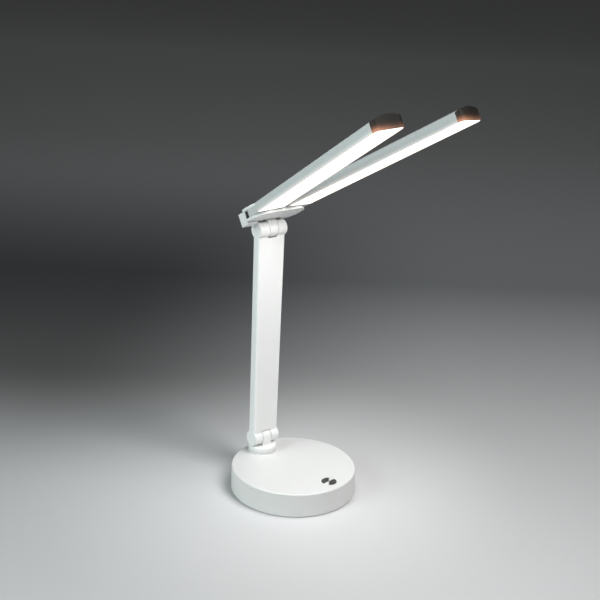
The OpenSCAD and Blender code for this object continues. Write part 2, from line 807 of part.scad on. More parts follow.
module bar(side) {
    color("white") in_bar(side) difference() {
        intersection() {
            linear_extrude(bar_h) bar_plan();
            bar_section(-bar_w, bar_len);
        }
        across(2 * bar_w, -bar_w, step_s, root_h, bar_h + 1);
        across(bar_w - 2 * diffuser_rim, light_s, bar_len + 1, -1, diffuser_t);
        across(chan_w, light_s + diffuser_ledge, bar_len + 1, -1, chan_top);
        across(2 * bar_w, cap_s, bar_len + 1, -1, bar_h + 1);
        translate([0, 0, -1]) cylinder(r = swing_r + run_fit, h = bar_h);
        // wire duct from the root to the light strip
        translate([-side * bar_w / 4, 0, diffuser_t + wire_d / 2 + 0.4]) rotate([90, 0, 0])
            translate([0, 0, -bar_w]) cylinder(r = wire_d / 2, h = 3 * bar_w);
    }
}

module bar_left() { bar(-1); }
module bar_right() { bar(1); }

module diffuser(side) {
    color("lemonchiffon") in_bar(side) linear_extrude(diffuser_t) strip_plan(drop_gap);
}

module diffuser_left() { diffuser(-1); }
module diffuser_right() { diffuser(1); }

module led_board(side) {
    s0 = light_s + diffuser_ledge + 3;
    s1 = cap_s - 6;
    color("gold") in_bar(side) {
        across(led_board_w, s0, s1, chan_top - led_board_t, chan_top);
        for (s = [s0 + led_pitch / 2 : led_pitch : s1 - led_w])
            across(led_w, s, s + led_w, chan_top - led_board_t - 0.8,
                chan_top - led_board_t + sink);
    }
}

module led_board_left() { led_board(-1); }
module led_board_right() { led_board(1); }

module end_cap(side) {
    color("black") in_bar(side) {
        difference() {
            intersection() {
                bar_section(cap_s, bar_len);
                linear_extrude(bar_h) bar_plan();
            }
            translate([0, 0, -1]) linear_extrude(diffuser_t + 1) strip_plan(0);
        }
        // plug that holds the cap in the hollow bar
        across(chan_w - 2 * drop_gap, cap_s - 3, cap_s + 1, diffuser_t + drop_gap,
            chan_top - drop_gap);
    }
}

module end_cap_left() { end_cap(-1); }
module end_cap_right() { end_cap(1); }

// ---- output ----

base_shell();
base_cover();
foot_ring();
ballast_disc();
battery_cell();
control_board();
board_screws();
push_switch();
cover_screws();
inlet_board();
inlet_socket();
button_disc();
button_plunger();
switch_stem();
turret();
spigot_nut();
slide_washer();
arm_frame();
arm_back();
arm_screws();
lower_pin();
upper_pin();
hinge_caps();
hinge_washers();
head_bracket();
bracket_plate();
plate_screw();
swing_pin_left();
swing_pin_right();
bar_left();
bar_right();
diffuser_left();
diffuser_right();
led_board_left();
led_board_right();
end_cap_left();
end_cap_right();
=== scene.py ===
# Looks of the folding desk lamp: two lit bars on a tilting head, a slim arm and a
# round weighted base.  Everything is in metres, in the same frame as the solids.
import json
import math

import bmesh
import bpy
from mathutils import Matrix, Vector

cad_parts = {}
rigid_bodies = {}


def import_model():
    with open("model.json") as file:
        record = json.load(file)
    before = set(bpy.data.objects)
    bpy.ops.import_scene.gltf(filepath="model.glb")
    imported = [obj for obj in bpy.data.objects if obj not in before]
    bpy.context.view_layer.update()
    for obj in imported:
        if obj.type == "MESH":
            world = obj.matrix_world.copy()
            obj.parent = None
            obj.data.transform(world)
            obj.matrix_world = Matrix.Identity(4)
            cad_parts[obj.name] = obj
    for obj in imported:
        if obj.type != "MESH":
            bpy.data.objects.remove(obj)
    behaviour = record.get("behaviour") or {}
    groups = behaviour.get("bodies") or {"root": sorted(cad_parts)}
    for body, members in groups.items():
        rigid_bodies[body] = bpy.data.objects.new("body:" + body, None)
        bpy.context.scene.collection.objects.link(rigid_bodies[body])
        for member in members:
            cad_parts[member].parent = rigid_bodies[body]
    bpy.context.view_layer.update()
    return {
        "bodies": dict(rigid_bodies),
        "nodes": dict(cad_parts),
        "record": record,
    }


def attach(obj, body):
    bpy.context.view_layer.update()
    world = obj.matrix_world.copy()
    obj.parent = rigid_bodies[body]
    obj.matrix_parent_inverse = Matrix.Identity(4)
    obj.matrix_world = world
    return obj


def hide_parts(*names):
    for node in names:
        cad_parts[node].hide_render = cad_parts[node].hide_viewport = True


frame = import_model()

MM = 0.001
NODES = frame["nodes"]
RECORD = frame["record"]
SLOTS = {part["node"]: part["material_slot"] for part in RECORD["subparts"]}
BODY_OF = {n: b for b, names in RECORD["behaviour"]["bodies"].items() for n in names}

# ---- how the lamp stands in the pose shown ----

TURN = math.radians(-7.0)        # the arm's turn on the base
TILT = math.radians(30.5)        # the bars' rise over the level
SPLAY = math.radians(8.0)        # each bar's swing away from the middle
PLUMB = Vector((0, 0, 1))
ACROSS = Vector((math.cos(TURN), math.sin(TURN), 0))
REAR = Vector((-math.sin(TURN), math.cos(TURN), 0))
FORWARD = REAR * -math.cos(TILT) + PLUMB * math.sin(TILT)
LIFT = REAR * math.sin(TILT) + PLUMB * math.cos(TILT)
HEAD_PIN = Vector((0, 45.0, 261.5)) * MM
PIVOT_OUT, PIVOT_FRONT, ROOT_LEVEL = 15.2 * MM, 17.2 * MM, 11.1 * MM
BUTTON = Vector((0, -48.0, 25.1)) * MM


def bar_place(side):
    """Matrix from a bar's own lengths (across, along to the tip, up) to the lamp."""
    swing = side * SPLAY
    over = ACROSS * math.cos(swing) - FORWARD * math.sin(swing)
    along = FORWARD * math.cos(swing) + ACROSS * math.sin(swing)
    pin = (HEAD_PIN + ACROSS * side * PIVOT_OUT + FORWARD * PIVOT_FRONT
           + LIFT * ROOT_LEVEL)
    placed = Matrix((over, along, LIFT)).transposed().to_4x4()
    placed.translation = pin
    return placed


# ---- colours and nodes ----

def paint(code, alpha=1.0):
    """An sRGB hex value such as 'f2f2ee' as the linear colour that nodes take."""
    def linear(v):
        return v / 12.92 if v <= 0.04045 else ((v + 0.055) / 1.055) ** 2.4
    r, g, b = (int(code[i:i + 2], 16) / 255 for i in (0, 2, 4))
    return (linear(r), linear(g), linear(b), alpha)


def add(tree, kind, sockets=None, **settings):
    """Adds a node; sockets maps an input to a value or to another node's output."""
    made = tree.nodes.new(kind)
    for name, value in settings.items():
        setattr(made, name, value)
    for socket, value in (sockets or {}).items():
        target = made.inputs[socket]
        if isinstance(value, bpy.types.NodeSocket):
            tree.links.new(value, target)
        else:
            target.default_value = value
    return made


def shades(ramp, *stops):
    """Sets a colour ramp's stops, each (position, colour)."""
    band = ramp.color_ramp
    while len(band.elements) < len(stops):
        band.elements.new(0.5)
    for element, (where, colour) in zip(band.elements, stops):
        element.position = where
        element.color = colour
    return ramp


def new_material(name):
    """An empty material; gives it, its tree and its Object coordinates."""
    material = bpy.data.materials.new(name)
    material.use_nodes = True
    tree = material.node_tree
    tree.nodes.clear()
    place = add(tree, "ShaderNodeTexCoord").outputs["Object"]
    return material, tree, place


def close(material, tree, shader):
    add(tree, "ShaderNodeOutputMaterial", {"Surface": shader})
    return material


# ---- materials ----

def moulded_abs(name, colour, shade, rough, grain=0.35, glow=0.0):
    """ABS from a spark-eroded mould: an even satin white whose fine grain breaks
    highlights up softly, a little duller and greyer where hands have been.
    The grain is drawn about three times too coarse, or it would not show.
    glow is the warm light that seeps through the wall beside a lit strip."""
    material, tree, place = new_material(name)
    cloud = add(tree, "ShaderNodeTexNoise",
                {"Vector": place, "Scale": 1 / (38 * MM), "Detail": 3.0, "Roughness": 0.55})
    tone = add(tree, "ShaderNodeMix",
               {"Factor": cloud.outputs["Fac"], "A": paint(shade), "B": paint(colour)},
               data_type="RGBA", blend_type="MIX")
    for socket, value in ((6, paint(shade)), (7, paint(colour))):
        tone.inputs[socket].default_value = value
    smudge = add(tree, "ShaderNodeTexNoise",
                 {"Vector": place, "Scale": 1 / (13 * MM), "Detail": 4.0, "Roughness": 0.6})
    gloss = add(tree, "ShaderNodeMapRange",
                {"Value": smudge.outputs["Fac"], "From Min": 0.3, "From Max": 0.7,
                 "To Min": rough - 0.05, "To Max": rough + 0.07})
    pits = add(tree, "ShaderNodeTexVoronoi",
               {"Vector": place, "Scale": 1 / (grain * MM), "Randomness": 1.0})
    waves = add(tree, "ShaderNodeTexNoise",
                {"Vector": place, "Scale": 1 / (9 * MM), "Detail": 1.0})
    skin = add(tree, "ShaderNodeBump",
               {"Height": pits.outputs["Distance"], "Strength": 0.25, "Distance": 0.02 * MM})
    skin = add(tree, "ShaderNodeBump",
               {"Height": waves.outputs["Fac"], "Strength": 0.35, "Distance": 0.05 * MM,
                "Normal": skin.outputs["Normal"]})
    shader = add(tree, "ShaderNodeBsdfPrincipled",
                 {"Base Color": tone.outputs[2], "Roughness": gloss.outputs["Result"],
                  "IOR": 1.52, "Normal": skin.outputs["Normal"],
                  "Subsurface Weight": 0.06, "Subsurface Radius": (1.0, 0.8, 0.6),
                  "Subsurface Scale": 0.8 * MM})
    if glow:
        spot = add(tree, "ShaderNodeAttribute", attribute_name="bar_place")
        level = add(tree, "ShaderNodeSeparateXYZ", {"Vector": spot.outputs["Vector"]})
        seep = add(tree, "ShaderNodeMapRange",
                   {"Value": level.outputs["Z"], "From Min": 0.0, "From Max": 4.6,
                    "To Min": 1.0, "To Max": 0.0}, interpolation_type="SMOOTHSTEP")
        start = add(tree, "ShaderNodeMapRange",
                    {"Value": level.outputs["Y"], "From Min": 15.0, "From Max": 19.0,
                     "To Min": 0.0, "To Max": 1.0})
        both = add(tree, "ShaderNodeMath",
                   {0: seep.outputs["Result"], 1: start.outputs["Result"]},
                   operation="MULTIPLY")
        warm = shades(add(tree, "ShaderNodeValToRGB", {"Fac": both.outputs["Value"]}),
                      (0.0, (0, 0, 0, 1)), (0.55, paint("8a8581")), (1.0, paint("fff0e2")))
        tree.links.new(warm.outputs["Color"], shader.inputs["Emission Color"])
        shader.inputs["Emission Strength"].default_value = glow
    return close(material, tree, shader.outputs["BSDF"])


def opal_acrylic():
    """Extruded opal acrylic, lit from behind: a blown-out even white in the middle,
    creamier along both long edges where less light reaches it."""
    material, tree, place = new_material("opal_acrylic")
    spot = add(tree, "ShaderNodeAttribute", attribute_name="bar_place")
    part = add(tree, "ShaderNodeSeparateXYZ", {"Vector": spot.outputs["Vector"]})
    off = add(tree, "ShaderNodeMath", {0: part.outputs["X"]}, operation="ABSOLUTE")
    edge = add(tree, "ShaderNodeMapRange",
               {"Value": off.outputs["Value"], "From Min": 0.0, "From Max": 14.0})
    lit = shades(add(tree, "ShaderNodeValToRGB", {"Fac": edge.outputs["Result"]}),
                 (0.0, paint("fffefc")), (0.80, paint("fffbf6")), (1.0, paint("fff0e0")))
    mist = add(tree, "ShaderNodeTexNoise",
               {"Vector": place, "Scale": 1 / (0.6 * MM), "Detail": 2.0})
    haze = add(tree, "ShaderNodeMapRange",
               {"Value": mist.outputs["Fac"], "To Min": 0.28, "To Max": 0.40})
    shader = add(tree, "ShaderNodeBsdfPrincipled",
                 {"Base Color": paint("f4efe6"), "Roughness": haze.outputs["Result"],
                  "IOR": 1.49, "Emission Color": lit.outputs["Color"],
                  "Emission Strength": STRIP_LIGHT})
    return close(material, tree, shader.outputs["BSDF"])


def smoked_cap():
    """Dark smoke-coloured polycarbonate with a gloss skin: near black above, with an
    amber glow along its lower edge where the strip shines into it."""
    material, tree, place = new_material("smoked_polycarbonate")
    spot = add(tree, "ShaderNodeAttribute", attribute_name="bar_place")
    part = add(tree, "ShaderNodeSeparateXYZ", {"Vector": spot.outputs["Vector"]})
    streak = add(tree, "ShaderNodeTexNoise",
                 {"Vector": place, "Scale": 1 / (6 * MM), "Detail": 2.0})
    bent = add(tree, "ShaderNodeMath",
               {0: streak.outputs["Fac"], 1: 1.6, 2: part.outputs["Z"]},
               operation="MULTIPLY_ADD")
    rise = add(tree, "ShaderNodeMapRange",
               {"Value": bent.outputs["Value"], "From Min": 1.8, "From Max": 9.6})
    amber = shades(add(tree, "ShaderNodeValToRGB", {"Fac": rise.outputs["Result"]}),
                   (0.0, paint("c99072")), (0.22, paint("8a5f49")), (0.5, paint("45332a")),
                   (0.75, paint("2b2621")), (1.0, paint("25231f")))
    # the light leaves the strip's left edge first, so the far corner stays darker
    lean = add(tree, "ShaderNodeMapRange",
               {"Value": part.outputs["X"], "From Min": -15.0, "From Max": 6.0,
                "To Min": 1.0, "To Max": 0.3}, interpolation_type="SMOOTHSTEP")
    glow = add(tree, "ShaderNodeVectorMath",
               {0: amber.outputs["Color"], "Scale": lean.outputs["Result"]},
               operation="SCALE")
    fine = add(tree, "ShaderNodeTexNoise",
               {"Vector": place, "Scale": 1 / (0.4 * MM), "Detail": 1.0})
    rub = add(tree, "ShaderNodeMapRange",
              {"Value": fine.outputs["Fac"], "To Min": 0.50, "To Max": 0.62})
    shader = add(tree, "ShaderNodeBsdfPrincipled",
                 {"Base Color": paint("191714"), "Roughness": rub.outputs["Result"],
                  "IOR": 1.58, "Specular IOR Level": 0.15,
                  "Emission Color": glow.outputs["Vector"], "Emission Strength": 1.0})
    return close(material, tree, shader.outputs["BSDF"])


def spun_aluminium():
    """Aluminium disc faced on a lathe: rings 0.3 mm apart, drawn twice too coarse,
    that pull the light into two bright and two dark fans. The same fans are also
    painted into its colour by the angle round its middle, as a painted reflection."""
    material, tree, place = new_material("spun_aluminium")
    centred = add(tree, "ShaderNodeMapping",
                  {"Vector": place, "Location": tuple(-BUTTON)}, vector_type="POINT")
    rings = add(tree, "ShaderNodeTexWave",
                {"Vector": centred.outputs["Vector"], "Scale": 1 / (0.3 * MM) / 6.283,
                 "Distortion": 0.6, "Detail": 2.0, "Detail Scale": 2.0},
                wave_type="RINGS", rings_direction="SPHERICAL")
    turned = add(tree, "ShaderNodeMapping",
                 {"Vector": centred.outputs["Vector"],
                  "Rotation": (0, 0, math.radians(PAINTED_FAN_TURN))}, vector_type="POINT")
    way = add(tree, "ShaderNodeSeparateXYZ", {"Vector": turned.outputs["Vector"]})
    angle = add(tree, "ShaderNodeMath",
                {0: way.outputs["Y"], 1: way.outputs["X"]}, operation="ARCTAN2")
    double = add(tree, "ShaderNodeMath", {0: angle.outputs["Value"], 1: 2.0},
                 operation="MULTIPLY")
    fan = add(tree, "ShaderNodeMath", {0: double.outputs["Value"]}, operation="COSINE")
    share = add(tree, "ShaderNodeMapRange",
                {"Value": fan.outputs["Value"], "From Min": -1.0}).outputs["Result"]
    # painted reflection: two bright and two dark fans drawn into the colour by the angle
    # round the disc
    painted_reflection_tint = shades(add(tree, "ShaderNodeValToRGB", {"Fac": share}),
                  (0.0, paint("f6f6f4")), (0.07, paint("e4e4e1")),
                  (0.22, paint("7d7d7b")), (0.50, paint("5c5c5a")), (1.0, paint("757573")))
    # the bright fans mirror the strips, which a paler, less metallic tone stands for
    bare = add(tree, "ShaderNodeMapRange",
               {"Value": share, "From Max": 0.3, "To Min": 0.15, "To Max": 0.6})
    cut = add(tree, "ShaderNodeBump",
              {"Height": rings.outputs["Fac"], "Strength": 0.3, "Distance": 0.02 * MM})
    sheen = add(tree, "ShaderNodeMapRange",
                {"Value": rings.outputs["Fac"], "To Min": 0.26, "To Max": 0.36})
    lathe = add(tree, "ShaderNodeTangent", direction_type="RADIAL", axis="Z")
    shader = add(tree, "ShaderNodeBsdfPrincipled",
                 {"Base Color": painted_reflection_tint.outputs["Color"], "Metallic": bare.outputs["Result"],
                  "Roughness": sheen.outputs["Result"], "Anisotropic": 0.7,
                  "Tangent": lathe.outputs["Tangent"], "Normal": cut.outputs["Normal"]})
    return close(material, tree, shader.outputs["BSDF"])


def plated_steel(name, colour, dark, rough, grit):
    """Steel with a thin plating: cool grey, with fine scuffs of grit mm that turn
    parts of it duller, and darker specks left by the bath."""
    material, tree, place = new_material(name)
    scuffs = add(tree, "ShaderNodeTexNoise",
                 {"Vector": place, "Scale": 1 / (grit * MM), "Detail": 5.0,
                  "Roughness": 0.65})
    tone = shades(add(tree, "ShaderNodeValToRGB", {"Fac": scuffs.outputs["Fac"]}),
                  (0.3, paint(dark)), (0.62, paint(colour)))
    gloss = add(tree, "ShaderNodeMapRange",
                {"Value": scuffs.outputs["Fac"], "To Min": rough - 0.1,
                 "To Max": rough + 0.14})
    skin = add(tree, "ShaderNodeBump",
               {"Height": scuffs.outputs["Fac"], "Strength": 0.2, "Distance": 0.02 * MM})
    shader = add(tree, "ShaderNodeBsdfPrincipled",
                 {"Base Color": tone.outputs["Color"], "Metallic": 1.0,
                  "Roughness": gloss.outputs["Result"], "Normal": skin.outputs["Normal"]})
    return close(material, tree, shader.outputs["BSDF"])


def foot_rubber():
    """Moulded silicone rubber: dull near-black with a bloom of dust in its grain."""
    material, tree, place = new_material("foot_rubber")
    dust = add(tree, "ShaderNodeTexNoise",
               {"Vector": place, "Scale": 1 / (2.5 * MM), "Detail": 6.0})
    tone = shades(add(tree, "ShaderNodeValToRGB", {"Fac": dust.outputs["Fac"]}),
                  (0.35, paint("2b2b2a")), (0.75, paint("4a4945")))
    grain = add(tree, "ShaderNodeTexVoronoi", {"Vector": place, "Scale": 1 / (0.5 * MM)})
    skin = add(tree, "ShaderNodeBump",
               {"Height": grain.outputs["Distance"], "Strength": 0.4,
                "Distance": 0.04 * MM})
    shader = add(tree, "ShaderNodeBsdfPrincipled",
                 {"Base Color": tone.outputs["Color"], "Roughness": 0.85, "IOR": 1.43,
                  "Normal": skin.outputs["Normal"]})
    return close(material, tree, shader.outputs["BSDF"])


def plain_polymer(name, colour, shade, rough, grain):
    """Small moulded or turned polymer piece: even colour, slightly clouded, satin."""
    material, tree, place = new_material(name)
    cloud = add(tree, "ShaderNodeTexNoise",
                {"Vector": place, "Scale": 1 / (grain * MM), "Detail": 4.0})
    tone = shades(add(tree, "ShaderNodeValToRGB", {"Fac": cloud.outputs["Fac"]}),
                  (0.3, paint(shade)), (0.7, paint(colour)))
    skin = add(tree, "ShaderNodeBump",
               {"Height": cloud.outputs["Fac"], "Strength": 0.2, "Distance": 0.03 * MM})
    shader = add(tree, "ShaderNodeBsdfPrincipled",
                 {"Base Color": tone.outputs["Color"], "Roughness": rough, "IOR": 1.5,
                  "Normal": skin.outputs["Normal"]})
    return close(material, tree, shader.outputs["BSDF"])


def cell_foil():
    """Pouch of laminated aluminium foil: pale satin metal, faintly creased."""
    material, tree, place = new_material("cell_foil")
    crease = add(tree, "ShaderNodeTexNoise",
                 {"Vector": place, "Scale": 1 / (7 * MM), "Detail": 5.0,
                  "Distortion": 0.8})
    tone = shades(add(tree, "ShaderNodeValToRGB", {"Fac": crease.outputs["Fac"]}),
                  (0.3, paint("b4b7bc")), (0.7, paint("d0d2d6")))
    skin = add(tree, "ShaderNodeBump",
               {"Height": crease.outputs["Fac"], "Strength": 0.5, "Distance": 0.2 * MM})
    shader = add(tree, "ShaderNodeBsdfPrincipled",
                 {"Base Color": tone.outputs["Color"], "Metallic": 1.0, "Roughness": 0.38,
                  "Normal": skin.outputs["Normal"]})
    return close(material, tree, shader.outputs["BSDF"])


def circuit_board():
    """Glass-filled board under green solder mask, with paler tracks 1 mm apart
    showing through it."""
    material, tree, place = new_material("solder_mask")
    tracks = add(tree, "ShaderNodeTexBrick",
                 {"Vector": place, "Color1": paint("17663a"), "Color2": paint("135730"),
                  "Mortar": paint("2d8a52"), "Scale": 1.0, "Mortar Size": 0.12 * MM,
                  "Brick Width": 3.2 * MM, "Row Height": 1.0 * MM})
    shader = add(tree, "ShaderNodeBsdfPrincipled",
                 {"Base Color": tracks.outputs["Color"], "Roughness": 0.32, "IOR": 1.55})
    return close(material, tree, shader.outputs["BSDF"])


STRIP_LIGHT = 1.6        # how bright the strips look; their lamps do the lighting
PAINTED_FAN_TURN = 70.0          # turn of the disc's painted bright and dark fans, a painted reflection

white = moulded_abs("satin_white_abs", "f5f6f4", "f1f2f0", 0.42)
base_white = moulded_abs("satin_white_base_abs", "e2e2e0", "dededc", 0.44)
bar_white = moulded_abs("satin_white_bar_abs", "d9dcdb", "d5d9d8", 0.40, glow=0.30)
cover_grey = moulded_abs("grained_cover_abs", "d2d2cf", "c9c9c6", 0.55, grain=0.8)
plunger_grey = plain_polymer("plunger_abs", "c2c2c0", "b6b6b3", 0.5, 3.0)
opal = opal_acrylic()
smoke = smoked_cap()
disc_metal = spun_aluminium()
screw_steel = plated_steel("nickel_plated_steel", "c9c8c4", "8b8a86", 0.34, 0.9)
pin_steel = plated_steel("ground_pin_steel", "bdbdbd", "8d8e90", 0.26, 0.5)
inlet_steel = plated_steel("drawn_inlet_steel", "c4c6c8", "8e9093", 0.30, 0.7)
ballast_steel = plated_steel("zinc_plated_steel", "a9adb0", "777c80", 0.42, 4.0)
rubber = foot_rubber()
nylon = plain_polymer("natural_nylon", "e6e2d2", "dad5c2", 0.5, 2.0)
black_nylon = plain_polymer("black_moulded_nylon", "232323", "1a1a1a", 0.45, 1.2)
board_white = plain_polymer("white_coated_board", "e8e8e4", "dcdcd7", 0.4, 2.4)
phosphor = plain_polymer("yellow_phosphor", "f0c94a", "e3b52e", 0.3, 0.4)

FINISH = {
    "base_plastic": base_white, "cover_plastic": cover_grey, "foot_rubber": rubber,
    "plated_steel": ballast_steel, "cell_foil": cell_foil(),
    "circuit_board": circuit_board(), "screw_steel": screw_steel,
    "black_plastic": black_nylon, "inlet_steel": inlet_steel,
    "spun_aluminium": disc_metal, "grey_plastic": plunger_grey,
    "white_plastic": white, "slide_nylon": nylon, "pin_steel": pin_steel,
    "bar_plastic": bar_white, "opal_diffuser": opal, "led_board": board_white,
    "cap_plastic": smoke,
}

for name, node in NODES.items():
    for spot in node.material_slots:
        spot.material = FINISH[SLOTS[name]]


# ---- pieces made from the solids, with their edges softened ----

def show(mesh, name, node, *more):
    """Shows a mesh in place of a node, on its body; the mesh brings its finish with it."""
    piece = bpy.data.objects.new(name, mesh)
    bpy.context.scene.collection.objects.link(piece)
    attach(piece, BODY_OF[node])
    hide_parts(node, *more)
    return piece


def joined_copy(node):
    """A node's mesh with its loose triangles joined and its flat faces made one."""
    bm = bmesh.new()
    bm.from_mesh(NODES[node].data)
    bmesh.ops.remove_doubles(bm, verts=bm.verts, dist=0.002 * MM)
    bmesh.ops.dissolve_degenerate(bm, edges=bm.edges, dist=0.002 * MM)
    bmesh.ops.dissolve_limit(bm, angle_limit=math.radians(0.5), verts=bm.verts,
                             edges=bm.edges)
    return bm


def softened(node, radius, steps=2, side=None):
    """Shows a node with every sharp edge rounded to a radius in mm, as moulding or
    tumbling leaves it.  On a bar's pieces it also notes each point's place."""
    bm = joined_copy(node)
    mesh = bpy.data.meshes.new(node + "_shown")
    bm.to_mesh(mesh)
    bm.free()
    mesh.materials.clear()
    mesh.materials.append(FINISH[SLOTS[node]])
    mesh.polygons.foreach_set("use_smooth", [True] * len(mesh.polygons))
    mesh.set_sharp_from_angle(angle=math.radians(40))
    if side:
        back = bar_place(side).inverted()
        marks = mesh.attributes.new("bar_place", "FLOAT_VECTOR", "POINT")
        for vertex, mark in zip(mesh.vertices, marks.data):
            mark.vector = (back @ vertex.co) / MM
    piece = show(mesh, node + "_shown", node)
    edge = piece.modifiers.new("edges", "BEVEL")
    edge.width = radius * MM
    edge.segments = steps
    edge.limit_method = "ANGLE"
    edge.angle_limit = math.radians(38)
    edge.use_clamp_overlap = True
    edge.miter_outer = "MITER_ARC"
    even = piece.modifiers.new("even", "WEIGHTED_NORMAL")
    even.keep_sharp = False
    even.weight = 60
    return piece


softened("base_shell", 0.3)
softened("base_cover", 0.25)
softened("foot_ring", 0.3)
softened("button_disc", 0.12)
softened("inlet_socket", 0.12)
softened("turret", 0.25)
softened("arm_frame", 0.25)
softened("arm_back", 0.2)
softened("hinge_caps", 0.2)
softened("head_bracket", 0.35)
softened("bracket_plate", 0.35)
softened("swing_pin_left", 0.2)
softened("swing_pin_right", 0.2)
for side, label in ((-1, "left"), (1, "right")):
    softened("bar_" + label, 0.3, side=side)
    softened("diffuser_" + label, 0.15, side=side)
    softened("end_cap_" + label, 0.3, side=side)


# ---- screws, one cross-recessed screw set into every seat ----

def islands(node):
    """The points of each separate solid in a node."""
    bm = joined_copy(node)
    bm.verts.index_update()
    left, found = set(bm.verts), []
    while left:
        todo, group = [left.pop()], []
        while todo:
            vertex = todo.pop()
            group.append(vertex.co.copy())
            for edge in vertex.link_edges:
                other = edge.other_vert(vertex)
                if other in left:
                    left.remove(other)
                    todo.append(other)
        found.append(group)
    bm.free()
    return found


def screw_seats(node, out):
    """Where each screw's head face lies, and how far the screw reaches behind it."""
    seats = []
    for group in islands(node):
        reach = [point.dot(out) for point in group]
        face = [p for p, r in zip(group, reach) if r > max(reach) - 0.02 * MM]
        seats.append((sum(face, Vector()) / len(face), max(reach) - min(reach)))
    return seats


def cross_screw(head, shank, length):
    """A countersunk screw along -Z, its face at z = 0, with a tapered cross recess."""
    bm = bmesh.new()
    ring, arm, wide, deep = 28, head * 0.56, head * 0.12, head * 0.34
    soft = 0.05 * head

    def circle(radius, z):
        return [bm.verts.new((radius * math.cos(i * math.tau / ring),
                              radius * math.sin(i * math.tau / ring), z))
                for i in range(ring)]

    def bridge(upper, lower):
        for i in range(len(upper)):
            j = (i + 1) % len(upper)
            bm.faces.new((upper[i], lower[i], lower[j], upper[j]))

    corners = [(arm, -wide), (arm, wide), (wide, wide), (wide, arm), (-wide, arm),
               (-wide, wide), (-arm, wide), (-arm, -wide), (-wide, -wide),
               (-wide, -arm), (wide, -arm), (wide, -wide)]
    mouth = [bm.verts.new((x, y, 0)) for x, y in corners]
    pit = [bm.verts.new((x * 0.5, y * 0.7, -deep)) for x, y in corners]
    face = circle(head - soft, 0)
    outline = [bm.edges.new((loop[i], loop[(i + 1) % len(loop)]))
               for loop in (mouth, face) for i in range(len(loop))]
    bmesh.ops.triangle_fill(bm, edges=outline, use_beauty=True)
    bridge(pit, mouth)
    bm.faces.new(pit)
    rings = [face, circle(head, -soft), circle(shank, -soft - (head - shank)),
             circle(shank, -length + 0.4 * shank), circle(shank * 0.6, -length)]
    for upper, lower in zip(rings, rings[1:]):
        bridge(upper, lower)
    bm.faces.new(rings[-1])
    bmesh.ops.recalc_face_normals(bm, faces=bm.faces)
    mesh = bpy.data.meshes.new("cross_screw")
    bm.to_mesh(mesh)
    bm.free()
    mesh.polygons.foreach_set("use_smooth", [True] * len(mesh.polygons))
    mesh.set_sharp_from_angle(angle=math.radians(35))
    return mesh


def repeat_tree(name, material):
    """Geometry Nodes: sets a template on every point, turned to Direction and by a
    random Turn about its own axis, as hand-driven screws end up."""
    tree = bpy.data.node_groups.new(name, "GeometryNodeTree")
    face = tree.interface
    face.new_socket("Geometry", in_out="INPUT", socket_type="NodeSocketGeometry")
    for label, kind in (("Template", "NodeSocketObject"), ("Direction", "NodeSocketVector"),
                        ("Turn", "NodeSocketFloat"), ("Seed", "NodeSocketInt")):
        face.new_socket(label, in_out="INPUT", socket_type=kind)
    face.new_socket("Geometry", in_out="OUTPUT", socket_type="NodeSocketGeometry")
    given = tree.nodes.new("NodeGroupInput").outputs
    chance = add(tree, "FunctionNodeRandomValue",
                 {"Min": 0.0, "Max": given["Turn"], "Seed": given["Seed"]},
                 data_type="FLOAT")
    for socket in chance.inputs:
        if socket.name == "Max" and socket.type == "VALUE" and socket.enabled:
            tree.links.new(given["Turn"], socket)
    spin = add(tree, "ShaderNodeCombineXYZ", {"Z": chance.outputs[1]})
    point = add(tree, "FunctionNodeAlignRotationToVector", {"Vector": given["Direction"]},
                axis="Z")
    turned = add(tree, "FunctionNodeRotateRotation",
                 {"Rotation": point.outputs["Rotation"], "Rotate By": spin.outputs[0]},
                 rotation_space="LOCAL")
    template = add(tree, "GeometryNodeObjectInfo", {"Object": given["Template"]})
    placed = add(tree, "GeometryNodeInstanceOnPoints",
                 {"Points": given["Geometry"], "Instance": template.outputs["Geometry"],
                  "Rotation": turned.outputs["Rotation"]})
    solid = add(tree, "GeometryNodeRealizeInstances",
                {"Geometry": placed.outputs["Instances"]})
    dressed = add(tree, "GeometryNodeSetMaterial",
                  {"Geometry": solid.outputs["Geometry"], "Material": material})
    add(tree, "NodeGroupOutput", {0: dressed.outputs["Geometry"]})
    return tree


def grown(tree, points, values, name):
    """Runs a tree on bare points and gives the result as one plain mesh."""
    seed = bpy.data.meshes.new(name)
    seed.from_pydata([tuple(p) for p in points], [], [])
    holder = bpy.data.objects.new(name, seed)
    bpy.context.scene.collection.objects.link(holder)
    run = holder.modifiers.new("grow", "NODES")
    run.node_group = tree
    for socket in tree.interface.items_tree:
        if socket.in_out == "INPUT" and socket.name in values:
            run[socket.identifier] = values[socket.name]
    bpy.context.view_layer.update()
    seen = holder.evaluated_get(bpy.context.evaluated_depsgraph_get())
    mesh = bpy.data.meshes.new_from_object(seen)
    bpy.data.objects.remove(holder)
    mesh.name = name
    return mesh


screw_tree = repeat_tree("screws_in_their_seats", screw_steel)
for node, out, head, shank in (
        ("cover_screws", -PLUMB, 2.7, 1.5), ("arm_screws", REAR, 1.9, 1.0),
        ("plate_screw", LIFT, 1.9, 1.0)):
    seats = screw_seats(node, out)
    pattern = bpy.data.objects.new("pattern", cross_screw(head * MM, shank * MM, seats[0][1]))
    bpy.context.scene.collection.objects.link(pattern)
    mesh = grown(screw_tree, [at for at, _ in seats],
                 {"Template": pattern, "Direction": tuple(out), "Turn": math.tau, "Seed": 4},
                 node + "_shown")
    bpy.data.objects.remove(pattern)
    show(mesh, node + "_shown", node)


# ---- light strips inside the bars ----

